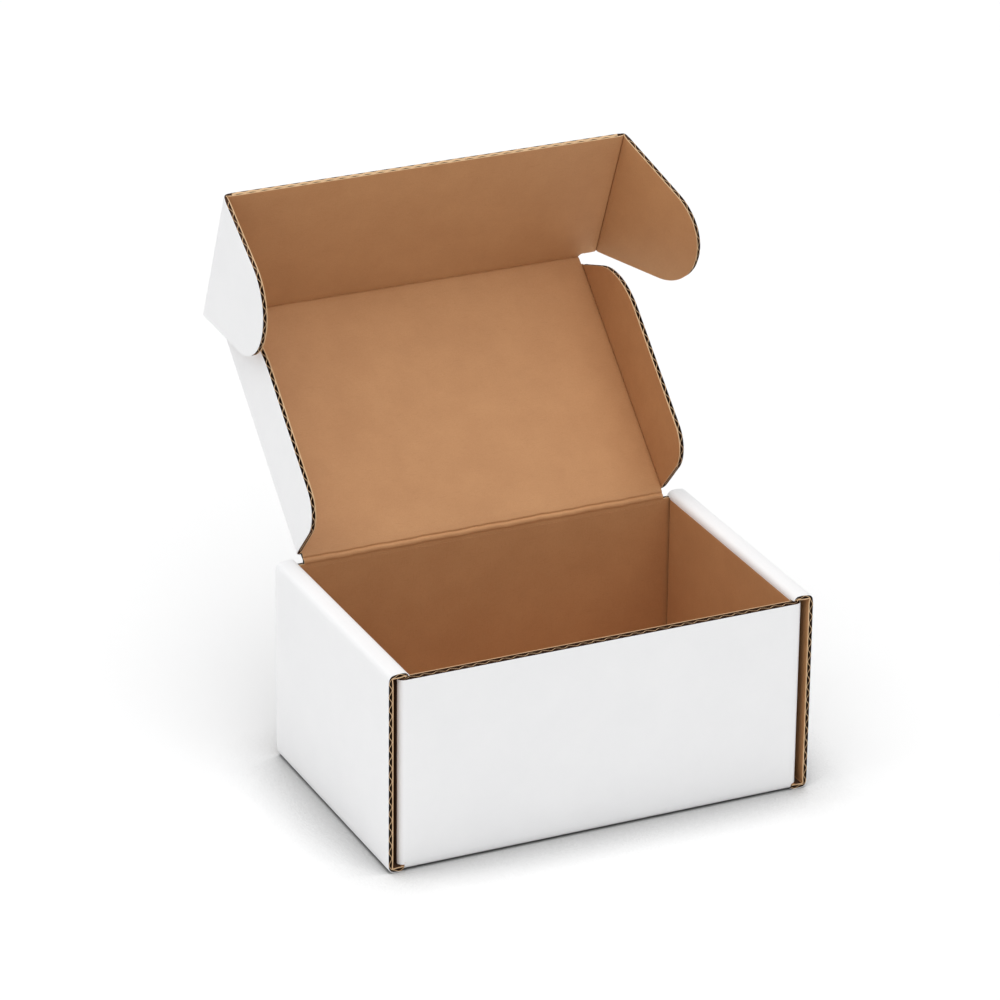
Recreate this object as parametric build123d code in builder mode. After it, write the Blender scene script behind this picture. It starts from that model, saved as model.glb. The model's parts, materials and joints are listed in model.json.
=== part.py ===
from build123d import *
import os
from math import atan2, cos, floor, radians, sin, tan

# Board: B-flute, two liners with a zigzag medium between them
BOARD = 2.5
LINER = 0.35
MEDIUM = 0.35
FLUTE_PITCH = 6.4
FLUTE_START = 8.0
FOLD_RADIUS = 1.6

# Tray, outside sizes
TRAY_WIDTH = 210.0
TRAY_DEPTH = 128.0
TRAY_HEIGHT = 98.5
CORNER_RETURN = 58.0
BOTTOM_ROUND = 2.0

# Tabs that lock the inner side walls into the base
TAB_WIDTH = 16.0
TAB_SPACING = 60.0
TAB_RECESS = 0.3

# Clearances
SLOT_CLEARANCE = 0.125
LAYER_CLEARANCE = 0.15
FOLD_CLEARANCE = 0.3
LID_CLEARANCE = 0.3
TAB_CLEARANCE = 0.25
RELIEF = 0.5

# Lid and its flaps
TUCK_HEIGHT = 76.0
WING_FOOT = 3.0
WING_HEIGHT_BACK = 37.0
WING_HEIGHT_FRONT = 37.5
WING_SLANT = 21.5
WING_ROUND_BACK = 15.0
WING_ROUND_FRONT = 38.0
EAR_LENGTH = 57.5
EAR_FOOT = 2.5
EAR_TAPER = 15.0
EAR_SLOPE = 17.5
EAR_ROUND_TOP = 26.0
EAR_ROUND_FOOT = 26.0
CREASE_BEVEL = 1.2

# Fold angles at rest: the lid from shut, each flap from flat
LID_ANGLE = 138.0
TUCK_ANGLE = 70.0
WING_ANGLE = 90.0
EAR_ANGLE_LEFT = 92.0
EAR_ANGLE_RIGHT = 68.0

# Middle planes and edges that follow from the sizes, from the outer wall inwards
HALF = BOARD / 2
EAR_SLOT = BOARD + 2 * SLOT_CLEARANCE
OUTER_X = TRAY_WIDTH / 2 - HALF
WALL_END = TRAY_WIDTH / 2 - BOARD - EAR_SLOT
RETURN_X = WALL_END - HALF
INNER_X = RETURN_X - BOARD - LAYER_CLEARANCE
WALL_Y = TRAY_DEPTH / 2 - HALF
STRIP_Z = TRAY_HEIGHT - HALF
ROLL_END = STRIP_Z - FOLD_RADIUS
INNER_FOOT = BOARD + LAYER_CLEARANCE
FOLD_GAP = HALF + FOLD_CLEARANCE

# Front and back walls: the shut lid lies over the front wall and turns on top of the back wall
FRONT_HEIGHT = ROLL_END - LID_CLEARANCE
BACK_HEIGHT = STRIP_Z - FOLD_GAP

# Fold lines of the lid, seen flat: the wings go inside the inner walls, the ears into the corner slots
LID_LENGTH = TRAY_DEPTH + FOLD_CLEARANCE
WING_X = INNER_X - HALF - LID_CLEARANCE - HALF
EAR_X = TRAY_WIDTH / 2 - BOARD - SLOT_CLEARANCE - HALF
LID_EDGE = WING_X - FOLD_GAP
TUCK_EDGE = EAR_X - FOLD_GAP
WING_END = TRAY_DEPTH - 1.5 * BOARD - 2 * LID_CLEARANCE

# The ears' rounds leave their two corners by these lengths and have to share the tip between them
EAR_RISE = EAR_LENGTH * tan(radians(EAR_SLOPE))
EAR_TIP = TUCK_HEIGHT - EAR_TAPER - EAR_FOOT - EAR_RISE
EAR_LEAVE_TOP = EAR_ROUND_TOP * tan(atan2(EAR_LENGTH, EAR_TAPER) / 2)
EAR_LEAVE_FOOT = EAR_ROUND_FOOT * tan(atan2(EAR_LENGTH, EAR_RISE) / 2)
EAR_ROUND_SHARE = min(1, (EAR_TIP - FOLD_CLEARANCE) / (EAR_LEAVE_TOP + EAR_LEAVE_FOOT))
NOTCH_ROUND = EAR_FOOT - FOLD_CLEARANCE

# One cell of the flute's zigzag
FLUTE_RISE = BOARD - 2 * LINER
CELL_SLOPE = 2 * FLUTE_RISE / FLUTE_PITCH
CELL_HALF = FLUTE_PITCH / 2 - MEDIUM / 2 * (1 + CELL_SLOPE**2) ** 0.5 / CELL_SLOPE
CELL_TIP = CELL_HALF * CELL_SLOPE - FLUTE_RISE / 2


def flutes(span):
    """Draws the open cells of a board's edge in the current sketch, centred, along local X."""
    cells = max(1, floor((span - 2 * CELL_HALF) / (FLUTE_PITCH / 2)) + 1)
    for cell in range(cells):
        middle = (cell - (cells - 1) / 2) * FLUTE_PITCH / 2
        up = 1 if cell % 2 == 0 else -1
        foot = -up * FLUTE_RISE / 2
        Polygon((middle - CELL_HALF, foot), (middle + CELL_HALF, foot), (middle, up * CELL_TIP), align=None)


def panel_directions(angle):
    """Returns the way up a panel of the lid, turned by an angle from shut, and the way its inside faces."""
    turn = radians(angle)
    return Vector(0, -cos(turn), sin(turn)), Vector(0, -sin(turn), -cos(turn))


def panel(root, up, inside, half_width, height):
    """Makes a rectangular panel that stands on a round nose along its fold line."""
    face = Plane(root, x_dir=ACROSS, z_dir=inside)
    with BuildPart() as board:
        with BuildSketch(face):
            Rectangle(2 * half_width, height, align=(Align.CENTER, Align.MIN))
        extrude(amount=HALF, both=True)
        bevelled = board.faces().sort_by(Axis(root, inside))[-1].edges().sort_by(Axis(root, up))[1:]
        chamfer(bevelled, length=CREASE_BEVEL)
        with BuildSketch(Plane(root - ACROSS * half_width, x_dir=up, z_dir=ACROSS)):
            Circle(HALF)
        extrude(amount=2 * half_width)
    return board.part


def side_flap(root, up, inside, side, angle, corners, rounds, cells):
    """Makes a flap on a fold that runs up from root: a rounded outline, a round nose and open flutes."""
    turn = radians(angle)
    outward = ACROSS * side
    face = Plane(
        root,
        x_dir=outward * cos(turn) + inside * sin(turn),
        z_dir=inside * cos(turn) - outward * sin(turn),
    )
    first = corners[0][1]
    last = corners[-1][1]
    reach = max(x for x, _ in corners)
    points = [(x, side * y) for x, y in corners]
    with BuildPart() as flap:
        with BuildSketch(face):
            with BuildLine():
                FilletPolyline(*points, radius=rounds)
                Line(points[-1], points[0])
            make_face()
        extrude(amount=HALF, both=True)
        with BuildSketch(Plane(root + up * first, x_dir=face.x_dir, z_dir=up)):
            Circle(HALF)
        extrude(amount=last - first)
        middle = root + face.x_dir * FLUTE_START + up * (cells[0] + cells[1]) / 2
        with BuildSketch(Plane(middle, x_dir=up, z_dir=face.x_dir)):
            flutes(cells[1] - cells[0])
        extrude(amount=reach, mode=Mode.SUBTRACT)
    return flap.part


ACROSS = Vector(1, 0, 0)
HINGE = Vector(0, WALL_Y, STRIP_Z)
LID_UP, LID_INSIDE = panel_directions(LID_ANGLE)
TUCK_UP, TUCK_INSIDE = panel_directions(LID_ANGLE - TUCK_ANGLE)
CREASE = HINGE + LID_UP * LID_LENGTH

# Tray: base, outer walls, rolled rims and inner walls are one bent strip
with BuildPart() as tray:
    with BuildSketch(Plane.XZ):
        with BuildLine():
            FilletPolyline(
                (-INNER_X, INNER_FOOT),
                (-INNER_X, STRIP_Z),
                (-OUTER_X, STRIP_Z),
                (-OUTER_X, HALF),
                (OUTER_X, HALF),
                (OUTER_X, STRIP_Z),
                (INNER_X, STRIP_Z),
                (INNER_X, INNER_FOOT),
                radius=FOLD_RADIUS,
            )
        trace(line_width=BOARD)
    extrude(amount=TRAY_DEPTH / 2, both=True)

    # The inner walls stop short of the front and back walls
    end = BOARD + LAYER_CLEARANCE
    with Locations((0, 0, BOARD)):
        with GridLocations(2 * INNER_X, TRAY_DEPTH - end, 2, 2):
            Box(
                BOARD + 2 * LAYER_CLEARANCE,
                end,
                ROLL_END - BOARD,
                align=(Align.CENTER, Align.CENTER, Align.MIN),
                mode=Mode.SUBTRACT,
            )

    # Front and back walls, each with two corner returns between the side wall's layers
    for front, height in ((-1, FRONT_HEIGHT), (1, BACK_HEIGHT)):
        wall = front * WALL_Y
        tip = front * (WALL_Y - CORNER_RETURN)
        with BuildSketch(Plane.XY.offset(BOARD + RELIEF)):
            with BuildLine():
                FilletPolyline(
                    (-RETURN_X, tip), (-RETURN_X, wall), (RETURN_X, wall), (RETURN_X, tip), radius=FOLD_RADIUS
                )
            trace(line_width=BOARD)
        extrude(amount=height - BOARD - RELIEF)
        with Locations((0, wall, HALF)):
            Box(
                2 * (RETURN_X - FOLD_RADIUS),
                BOARD,
                BOARD + RELIEF,
                align=(Align.CENTER, Align.CENTER, Align.MIN),
            )

    # Their bottom folds are round, and the base's cut ends beside them stay square
    with BuildSketch(Plane.YZ):
        with GridLocations(TRAY_DEPTH, 0, 2, 1):
            Rectangle(2 * BOTTOM_ROUND, 2 * BOTTOM_ROUND)
        with Locations((0, BOTTOM_ROUND)):
            with GridLocations(TRAY_DEPTH - 2 * BOTTOM_ROUND, 0, 2, 1):
                Circle(BOTTOM_ROUND, mode=Mode.SUBTRACT)
    extrude(amount=WALL_END, both=True, mode=Mode.SUBTRACT)

    # The inner walls' tabs stand in slots of the base
    with GridLocations(2 * INNER_X, TAB_SPACING, 2, 2):
        Box(
            BOARD + 2 * TAB_CLEARANCE,
            TAB_WIDTH + 2 * TAB_CLEARANCE,
            2 * BOARD,
            mode=Mode.SUBTRACT,
        )
    with Locations((0, 0, TAB_RECESS)):
        with GridLocations(2 * INNER_X, TAB_SPACING, 2, 2):
            Box(BOARD, TAB_WIDTH, 2 * BOARD, align=(Align.CENTER, Align.CENTER, Align.MIN))

    # Flutes: upright in the front wall, along the depth in the side walls and rims
    with BuildSketch(Plane.XY.offset(FLUTE_START)):
        with Locations((0, -WALL_Y)):
            flutes(2 * (RETURN_X - FOLD_RADIUS))
    extrude(amount=FRONT_HEIGHT - FLUTE_START, mode=Mode.SUBTRACT)
    with BuildSketch(Plane.XZ):
        with Locations(*[Location((side * OUTER_X, TRAY_HEIGHT / 2), 90) for side in (-1, 1)]):
            flutes(ROLL_END - HALF - FOLD_RADIUS)
        with Locations(*[(side * (OUTER_X + INNER_X) / 2, STRIP_Z) for side in (-1, 1)]):
            flutes(OUTER_X - INNER_X - 2 * FOLD_RADIUS)
    extrude(amount=TRAY_DEPTH / 2, both=True, mode=Mode.SUBTRACT)

# Lid panel, on the back wall
lid_panel = panel(HINGE, LID_UP, LID_INSIDE, LID_EDGE, LID_LENGTH - FOLD_GAP)

# Tuck flap, with a rounded notch below each ear and flutes that show along its free edge
with BuildPart() as tuck_flap:
    add(panel(CREASE, TUCK_UP, TUCK_INSIDE, TUCK_EDGE, TUCK_HEIGHT))
    with BuildSketch(Plane(CREASE, x_dir=ACROSS, z_dir=TUCK_INSIDE)):
        with Locations((-TUCK_EDGE, 0), (TUCK_EDGE, 0)):
            RectangleRounded(2 * (TUCK_EDGE - LID_EDGE), 2 * EAR_FOOT, NOTCH_ROUND)
    extrude(amount=BOARD, both=True, mode=Mode.SUBTRACT)
    with BuildSketch(Plane(CREASE + TUCK_UP * FLUTE_START, x_dir=ACROSS, z_dir=TUCK_UP)):
        flutes(2 * TUCK_EDGE - 2 * CREASE_BEVEL)
    extrude(amount=TUCK_HEIGHT, mode=Mode.SUBTRACT)

# Wings on the lid's sides and ears on the tuck flap's sides
wing_corners = [
    (0, WING_FOOT),
    (WING_HEIGHT_BACK, WING_FOOT),
    (WING_HEIGHT_FRONT, WING_END - WING_SLANT),
    (0, WING_END),
]
ear_corners = [
    (0, EAR_FOOT),
    (EAR_LENGTH, EAR_FOOT + EAR_RISE),
    (EAR_LENGTH, TUCK_HEIGHT - EAR_TAPER),
    (0, TUCK_HEIGHT),
]
pieces = {"tray": tray.part, "lid_panel": lid_panel, "tuck_flap": tuck_flap.part}
for name, side, ear_angle in (("left", -1, EAR_ANGLE_LEFT), ("right", 1, EAR_ANGLE_RIGHT)):
    pieces["lid_wing_" + name] = side_flap(
        HINGE + ACROSS * side * WING_X,
        LID_UP,
        LID_INSIDE,
        side,
        WING_ANGLE,
        wing_corners,
        [WING_ROUND_BACK, WING_ROUND_FRONT],
        (WING_FOOT + BOARD, WING_END - FLUTE_START),
    )
    pieces["tuck_ear_" + name] = side_flap(
        CREASE + ACROSS * side * EAR_X,
        TUCK_UP,
        TUCK_INSIDE,
        side,
        ear_angle,
        ear_corners,
        [EAR_ROUND_FOOT * EAR_ROUND_SHARE, EAR_ROUND_TOP * EAR_ROUND_SHARE],
        (EAR_FOOT + BOARD, TUCK_HEIGHT - EAR_TAPER - BOARD),
    )

os.makedirs("parts", exist_ok=True)
for name, piece in pieces.items():
    piece.label = name
    export_step(piece, f"parts/{name}.step")
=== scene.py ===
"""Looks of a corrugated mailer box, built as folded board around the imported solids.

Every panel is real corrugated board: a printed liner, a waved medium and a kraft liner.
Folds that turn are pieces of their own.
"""

from __future__ import annotations

import json
import logging
import math
from dataclasses import asdict, dataclass, field, replace
from enum import IntEnum

import bpy
import numpy as np
from mathutils import Matrix, Vector

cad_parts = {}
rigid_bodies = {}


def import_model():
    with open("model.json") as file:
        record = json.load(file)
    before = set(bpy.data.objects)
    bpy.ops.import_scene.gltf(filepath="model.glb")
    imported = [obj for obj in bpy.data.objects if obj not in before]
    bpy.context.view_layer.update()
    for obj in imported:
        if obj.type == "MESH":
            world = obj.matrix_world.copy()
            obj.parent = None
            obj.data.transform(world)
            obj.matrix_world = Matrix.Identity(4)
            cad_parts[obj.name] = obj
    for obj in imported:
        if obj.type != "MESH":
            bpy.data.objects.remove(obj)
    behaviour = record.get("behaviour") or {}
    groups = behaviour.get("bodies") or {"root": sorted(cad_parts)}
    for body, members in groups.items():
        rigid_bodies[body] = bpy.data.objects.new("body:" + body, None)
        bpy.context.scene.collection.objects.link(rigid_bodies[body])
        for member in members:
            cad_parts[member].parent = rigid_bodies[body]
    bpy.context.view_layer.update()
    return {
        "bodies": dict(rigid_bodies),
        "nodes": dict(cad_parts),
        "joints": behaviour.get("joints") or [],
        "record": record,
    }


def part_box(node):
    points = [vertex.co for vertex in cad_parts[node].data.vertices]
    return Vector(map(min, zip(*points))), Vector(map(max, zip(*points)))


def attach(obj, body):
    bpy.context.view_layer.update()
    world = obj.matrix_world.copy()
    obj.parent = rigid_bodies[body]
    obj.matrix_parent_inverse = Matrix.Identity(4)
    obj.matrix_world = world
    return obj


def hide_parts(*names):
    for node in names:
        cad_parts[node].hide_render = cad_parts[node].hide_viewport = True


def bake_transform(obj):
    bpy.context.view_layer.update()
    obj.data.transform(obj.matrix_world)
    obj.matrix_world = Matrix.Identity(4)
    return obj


LOG = logging.getLogger("mailer_box")
MM = 0.001
TINY = 1e-9
FLUTE_MAP = "flutes"
ACROSS = np.array([1.0, 0.0, 0.0])
DEPTHWISE = np.array([0.0, 1.0, 0.0])
UPRIGHT = np.array([0.0, 0.0, 1.0])

# Edges that turn by more than this stay sharp
SHARP_ANGLE = math.radians(32)

# Points on the arc of a fold, and on each round of a flap's outline
ARC_POINTS = 9
ROUND_POINTS = 25

# Waves by which a score line strays along its fold: turn in radians, strength and phase
SCORE_WAVES = ((41.0, 1.0, 0.0), (97.0, 0.6, 1.0), (173.0, 0.4, 2.0))

# The part of a noise's range that is stretched to a whole look, and the grain's share beside the clouds
NOISE_RANGE = (0.3, 0.7)
GRAIN_SHARE = 0.6

# Places of the two colours and of their result among the mix node's sockets
MIX_COLOURS = (6, 7)
MIX_RESULT = 2


class Finish(IntEnum):
    """Surfaces of the board, in the order of each piece's material slots."""

    PRINT = 0
    KRAFT = 1
    CUT = 2
    # Painted shade: the medium's brown darkened nearly to black, for the shade inside the flute cells and
    # the corner slots
    FLUTE = 3


@dataclass(frozen=True)
class Stock:
    """The board that the box is cut from, in metres, with its crush at a fold as a share."""

    thickness: float = 2.5 * MM
    print_liner: float = 0.28 * MM
    kraft_liner: float = 0.5 * MM
    medium: float = 0.26 * MM
    pressed_medium: float = 1.25 * MM
    pitch: float = 6.4 * MM
    steps_per_wave: int = 12
    crease_steps: int = 36
    fold_radius: float = 1.6 * MM
    fold_crush: float = 0.22
    crush_width: float = 2.2 * MM
    crease_radius: float = 1.5 * MM
    crease_reach: float = 3.5 * MM
    crease_turn: float = 1.2 * MM
    core_recess: float = 0.4 * MM

    @property
    def half(self) -> float:
        """Half of the board's thickness."""
        return self.thickness / 2

    @property
    def step(self) -> float:
        """Distance between two points along a wave."""
        return self.pitch / self.steps_per_wave

    def points(self, span: float) -> int:
        """How many points divide a stretch evenly, and finely enough for a wave."""
        return max(2, math.ceil(span / self.step) + 1)

    def finer(self) -> Stock:
        """The same board, divided finely enough for a crease."""
        return replace(self, steps_per_wave=self.crease_steps)

    def pressed(self) -> Stock:
        """The same board where the cutting knife has pressed its flutes nearly shut."""
        return replace(self, medium=self.pressed_medium)


def new_object(name: str, data: bpy.types.ID) -> bpy.types.Object:
    """Adds an object to the scene, at the origin.

    Args:
        name: The object's name.
        data: Its mesh, lamp or camera.

    Returns:
        The new object.
    """
    made = bpy.data.objects.new(name, data)
    bpy.context.scene.collection.objects.link(made)
    return made


@dataclass
class Shell:
    """A closed mesh as whole arrays: points, quads, a finish for each quad and flute coordinates."""

    points: np.ndarray
    quads: np.ndarray
    finish: np.ndarray
    flute: np.ndarray

    @staticmethod
    def joined(shells: list[Shell]) -> Shell:
        """Puts several shells into one.

        Args:
            shells: The shells to join, each kept closed by itself.

        Returns:
            One shell with all points and quads.
        """
        starts = np.cumsum([0] + [len(shell.points) for shell in shells[:-1]])
        return Shell(
            np.concatenate([shell.points for shell in shells]),
            np.concatenate([shell.quads + start for shell, start in zip(shells, starts)]),
            np.concatenate([shell.finish for shell in shells]),
            np.concatenate([shell.flute for shell in shells]),
        )

    def to_object(self, name: str, finishes: list[bpy.types.Material]) -> bpy.types.Object:
        """Makes the Blender object, smooth along its curves and sharp at its cut edges.

        Args:
            name: The piece's name.
            finishes: One material for each finish, in their order.

        Returns:
            The new object, at the origin.
        """
        mesh = bpy.data.meshes.new(name)
        mesh.vertices.add(len(self.points))
        mesh.vertices.foreach_set("co", self.points.astype(np.float32).ravel())
        mesh.loops.add(self.quads.size)
        mesh.loops.foreach_set("vertex_index", self.quads.astype(np.int32).ravel())
        mesh.polygons.add(len(self.quads))
        mesh.polygons.foreach_set("loop_start", np.arange(0, self.quads.size, 4, dtype=np.int32))
        mesh.polygons.foreach_set("material_index", self.finish.astype(np.int32))
        mesh.polygons.foreach_set("use_smooth", np.ones(len(self.quads), dtype=bool))
        flutes = mesh.uv_layers.new(name=FLUTE_MAP)
        flutes.uv.foreach_set("vector", self.flute[self.quads.ravel()].astype(np.float32).ravel())
        for finish in finishes:
            mesh.materials.append(finish)
        mesh.update(calc_edges=True)
        mesh.validate()
        mesh.set_sharp_from_angle(angle=SHARP_ANGLE)
        return new_object(name, mesh)


@dataclass
class Track:
    """The middle line of a board's section: points, normals to the printed face, running length, crush."""

    points: np.ndarray
    normals: np.ndarray
    run: np.ndarray
    crush: np.ndarray

    @staticmethod
    def straight(places: np.ndarray, origin: np.ndarray, ahead: np.ndarray, normal: np.ndarray) -> Track:
        """Makes a flat board's track.

        Point i is the origin plus the direction ahead times place i.

        Args:
            places: Increasing distances from the origin.
            origin: A point on the line.
            ahead: The line's direction.
            normal: The way the printed face looks.

        Returns:
            The track, uncrushed.
        """
        points = origin + places[:, None] * ahead
        return Track(points, np.broadcast_to(normal, points.shape), places, np.ones(len(places)))

    @staticmethod
    def folded(
        corners: np.ndarray, radius: float, axes: tuple[np.ndarray, np.ndarray], side: int, stock: Stock
    ) -> Track:
        """Runs straight between corners and round each corner in an arc.

        A straight run is divided evenly. An arc of radius r and turn a starts r tan(a/2) before its corner.
        The board is crushed near each fold by a bell curve of the distance along the line.

        Args:
            corners: Corner points in the plane of the section, one row each.
            radius: The arc's radius at every corner between the ends.
            axes: The two directions of that plane.
            side: 1 if the printed face is to the left of the line, -1 if to the right.
            stock: The board.

        Returns:
            The track in space.
        """
        ahead = np.diff(corners, axis=0)
        ahead /= np.linalg.norm(ahead, axis=1)[:, None]
        heading = np.unwrap(np.arctan2(ahead[:, 1], ahead[:, 0]))
        flat, angles, folds = [], [], []
        here = corners[0]
        length = 0.0
        for index, direction in enumerate(ahead):
            last = index == len(ahead) - 1
            turn = 0.0 if last else heading[index + 1] - heading[index]
            tangent = radius * math.tan(abs(turn) / 2)
            goal = corners[index + 1] - direction * tangent
            span = np.linalg.norm(goal - here)
            share = np.linspace(0, 1, stock.points(span))
            flat.append(here + share[:, None] * (goal - here))
            angles.append(np.full(len(share), heading[index]))
            length += span
            if last:
                break
            bend = np.linspace(0, turn, ARC_POINTS)[1:-1]
            left = np.array([-direction[1], direction[0]]) * np.sign(turn)
            swing = np.stack([np.sin(np.abs(bend)), 1 - np.cos(bend)], axis=1) * radius
            flat.append(goal + swing[:, :1] * direction + swing[:, 1:] * left)
            angles.append(heading[index] + bend)
            folds.append(length + radius * abs(turn) / 2)
            length += radius * abs(turn)
            here = corners[index + 1] + ahead[index + 1] * tangent
        line = np.concatenate(flat)
        angle = np.concatenate(angles)
        run = np.concatenate([[0.0], np.cumsum(np.linalg.norm(np.diff(line, axis=0), axis=1))])
        gap = np.abs(run[:, None] - np.array(folds)[None, :]).min(axis=1)
        crush = 1 - stock.fold_crush * np.exp(-((gap / stock.crush_width) ** 2))
        normal = side * np.stack([-np.sin(angle), np.cos(angle)], axis=1)
        plane = np.stack(axes)
        return Track(line @ plane, normal @ plane, run, crush)

    def moved(self, offset: np.ndarray) -> Track:
        """The same track in another place."""
        return replace(self, points=self.points + offset)

    def part(self, keep: np.ndarray) -> Track:
        """The points of the track that a list of places or a mask keeps."""
        return Track(self.points[keep], self.normals[keep], self.run[keep], self.crush[keep])


@dataclass(frozen=True)
class BandFaces:
    """Finishes of a band: its printed side, its other side and its cut edges."""

    printed: Finish | np.ndarray
    other: Finish | np.ndarray
    edge: Finish = Finish.CUT


def band(
    track: Track,
    low: np.ndarray,
    high: np.ndarray,
    along: np.ndarray,
    start: np.ndarray | float,
    stop: np.ndarray | float,
    faces: BandFaces,
    stock: Stock,
    rows: int = 2,
) -> Shell:
    """Carries a band's section straight along a direction and closes it.

    Point (i, j) is track point i, plus its normal times the band's offset there, plus the direction times
    start + j / (rows - 1) times (stop - start). The ring of a row runs out on the high side and back on
    the low side.

    Args:
        track: The line that the section follows.
        low: Offset of the low side from the track, by point, or by row and point.
        high: Offset of the high side.
        along: The direction of the sweep.
        start: Where the sweep starts, by point.
        stop: Where it stops.
        faces: The finishes.
        stock: The board, whose pitch scales the flute coordinates.
        rows: How many rows the sweep has.

    Returns:
        The closed shell.
    """
    count = len(track.points)
    share = np.linspace(0, 1, rows)[:, None]
    reach = np.broadcast_to(start, count) * (1 - share) + np.broadcast_to(stop, count) * share
    shift = reach[:, :, None] * along
    sides = []
    for offset in (np.broadcast_to(high, (rows, count)), np.broadcast_to(low, (rows, count))):
        sides.append(track.points + track.normals * offset[:, :, None] + shift)
    points = np.concatenate([sides[0], sides[1][:, ::-1]], axis=1)
    run = np.concatenate([track.run, track.run[::-1]]) / stock.pitch
    length = np.concatenate([reach, reach[:, ::-1]], axis=1) / stock.pitch
    flute = np.stack([np.broadcast_to(run, length.shape), length], axis=2)
    ring = 2 * count
    column = np.arange(ring)
    after = (column + 1) % ring
    base = np.arange(rows - 1)[:, None] * ring
    walls = np.stack([base + column, base + after, base + ring + after, base + ring + column], axis=2)
    first = np.arange(count - 1)
    cap = np.stack([first, ring - 1 - first, ring - 2 - first, first + 1], axis=1)
    caps = np.concatenate([cap, cap[:, ::-1] + (rows - 1) * ring])
    printed = np.broadcast_to(np.asarray(faces.printed, dtype=int), count - 1)
    other = np.broadcast_to(np.asarray(faces.other, dtype=int), count - 1)
    around = np.concatenate([printed, [faces.edge], other[::-1], [faces.edge]])
    quads = np.concatenate([walls.reshape(-1, 4), caps])
    finish = np.concatenate([np.tile(around, rows - 1), np.full(len(caps), int(faces.edge))])
    middle = count // 2
    ahead = track.points[middle] - track.points[middle - 1]
    if np.dot(np.cross(ahead, along), track.normals[middle]) < 0:
        quads = quads[:, ::-1]
    return Shell(points.reshape(-1, 3), quads, finish, flute.reshape(-1, 2))


def board(
    track: Track,
    along: np.ndarray,
    start: np.ndarray | float,
    stop: np.ndarray | float,
    stock: Stock,
    printed: Finish | np.ndarray = Finish.PRINT,
    inside: Finish | np.ndarray = Finish.KRAFT,
    slant: float = 0.0,
) -> list[Shell]:
    """Makes corrugated board along a track: two liners and the waved medium between them.

    The medium's height is the middle of its room plus its swing times sin(2 pi run / pitch), and its
    thickness is measured square to the wave.

    Args:
        track: The board's middle line, across its flutes.
        along: The direction of the flutes.
        start: Where the flutes start, by point.
        stop: Where they stop.
        stock: The board.
        printed: The finish of the printed face, by stretch of the track.
        inside: The finish of the other face, by stretch of the track.
        slant: How far the printed liner stops short of the kraft liner, with the medium halfway.

    Returns:
        Printed liner, kraft liner and medium.
    """
    half = stock.half * track.crush
    top = half - stock.print_liner
    bottom = stock.kraft_liner - half
    centre = (top + bottom) / 2
    swing = (top - bottom - stock.medium) / 2
    phase = 2 * math.pi * track.run / stock.pitch
    wave = centre + swing * np.sin(phase)
    slope = 2 * math.pi / stock.pitch * swing * np.cos(phase)
    thick = stock.medium * np.sqrt(1 + slope**2) / 2
    under = np.maximum(wave - thick, bottom)
    over = np.minimum(wave + thick, top)
    # The medium and the liners' faces towards it get painted shade, which stands for the shade inside the
    # flute cells
    outer = BandFaces(printed, Finish.FLUTE, Finish.PRINT)
    inner = BandFaces(Finish.FLUTE, inside)
    core = BandFaces(Finish.FLUTE, Finish.FLUTE)
    return [
        band(track, top, half, along, start, stop - slant, outer, stock),
        band(track, -half, bottom, along, start, stop, inner, stock),
        band(track, under, over, along, start, stop - slant / 2, core, stock),
    ]


def even_places(first: float, last: float, stock: Stock, extra: tuple[float, ...] = ()) -> np.ndarray:
    """Divides a stretch evenly, finely enough for a wave.

    Args:
        first: Where the stretch starts.
        last: Where it ends.
        stock: The board, for its step.
        extra: More places that have to be points.

    Returns:
        Increasing places.
    """
    even = np.linspace(first, last, stock.points(last - first))
    return np.unique(np.concatenate([even, np.array(extra)]))


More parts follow.
